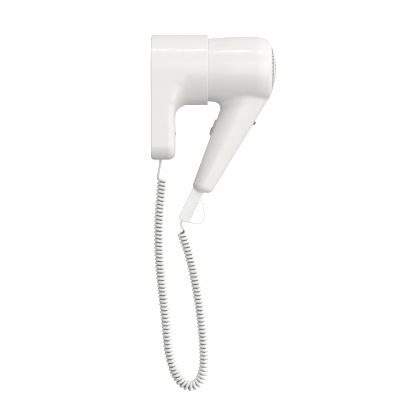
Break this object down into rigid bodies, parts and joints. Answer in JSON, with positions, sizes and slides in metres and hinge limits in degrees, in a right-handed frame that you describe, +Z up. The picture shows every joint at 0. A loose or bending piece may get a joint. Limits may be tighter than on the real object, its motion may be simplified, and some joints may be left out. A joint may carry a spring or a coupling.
{
  "type": "wall-mounted hair dryer",
  "caption": "Wall-mounted hair dryer: barrel handset with pistol grip docked in a round collar holder, joined by a curly cord.",
  "frame": {"origin": "on the wall face, on the axis of the round collar that the handset rests in", "axes": "+X out of the wall along the collar axis, +Z up, +Y to the right-hand side of someone facing the wall"},
  "size_m": [0.1558, 0.0882, 0.4457],
  "materials": {
    "white_shell": "moulded ABS, glossy warm white",
    "white_inner": "moulded ABS, plain white",
    "guard_soft": "soft moulded PVC, satin white",
    "cord_white": "extruded soft PVC, satin white",
    "grey_trim": "moulded warm grey",
    "dark_plastic": "moulded black",
    "lamp_clear": "tinted translucent lens",
    "filter_mesh": "fine woven nylon mesh",
    "mica": "pressed mica sheet",
    "steel_parts": "plated steel",
    "iron_parts": "ferrite and laminated steel",
    "brass_parts": "plain brass"
  },
  "bodies": {
    "holder": {"holder_shell": "white_shell", "wall_plate": "white_inner", "socket_cup": "white_inner", "dock_switch": "dark_plastic", "terminal_block": "dark_plastic", "terminal_screws": "brass_parts", "lamp_lens": "lamp_clear", "lamp_body": "dark_plastic", "outlet_bush": "white_inner", "cord_clamp": "white_inner", "clamp_screws": "steel_parts", "lock_screw": "steel_parts", "holder_cord_tail": "cord_white", "cord_lead_holder": "cord_white", "cord_curl": "cord_white", "cord_lead_handset": "cord_white"},
    "dock_pin": {"dock_plunger": "dark_plastic"},
    "handset": {"housing_left": "white_shell", "housing_right": "white_shell", "housing_screws": "steel_parts", "rear_grille": "white_shell", "lint_filter": "filter_mesh", "outlet_ring": "dark_plastic", "front_grille": "steel_parts", "motor_mount": "dark_plastic", "motor_can": "steel_parts", "motor_end_cap": "dark_plastic", "motor_magnets": "iron_parts", "heat_shield": "mica", "mica_cross": "mica", "heater_winding": "steel_parts", "thermostat": "brass_parts", "thermal_fuse": "steel_parts", "switch_track": "grey_trim", "switch_body": "dark_plastic", "button_switch": "dark_plastic", "cord_guard": "guard_soft", "hanging_loop": "guard_soft", "guard_cord": "cord_white", "handle_cord_clip": "white_inner", "inner_wires": "cord_white"},
    "rotor": {"rotor_core": "iron_parts", "motor_shaft": "steel_parts", "fan": "dark_plastic"},
    "speed_switch": {"switch_knob": "grey_trim", "switch_contact": "brass_parts"},
    "reset_button": {"back_button": "dark_plastic"}
  },
  "joints": [
    {"name": "handset_dock", "type": "slide", "parent": "holder", "child": "handset", "axis": [1, 0, 0], "range_m": [0, 0.066]},
    {"name": "dock_pin_slide", "type": "slide", "parent": "holder", "child": "dock_pin", "axis": [1, 0, 0], "range_m": [0, 0.003]},
    {"name": "rotor_spin", "type": "hinge", "parent": "handset", "child": "rotor", "pos_m": [0.107, 0, 0], "axis": [1, 0, 0], "continuous": true},
    {"name": "switch_slide", "type": "slide", "parent": "handset", "child": "speed_switch", "axis": [0.3449, 0, 0.9386], "range_m": [0, 0.008]},
    {"name": "reset_press", "type": "slide", "parent": "handset", "child": "reset_button", "axis": [-0.8552, 0, 0.5184], "range_m": [0, 0.0012], "stiffness_N_per_m": 500}
  ],
  "couplings": [
    {"joint": "dock_pin_slide", "follows": "handset_dock", "ratio": 0.045}
  ]
}
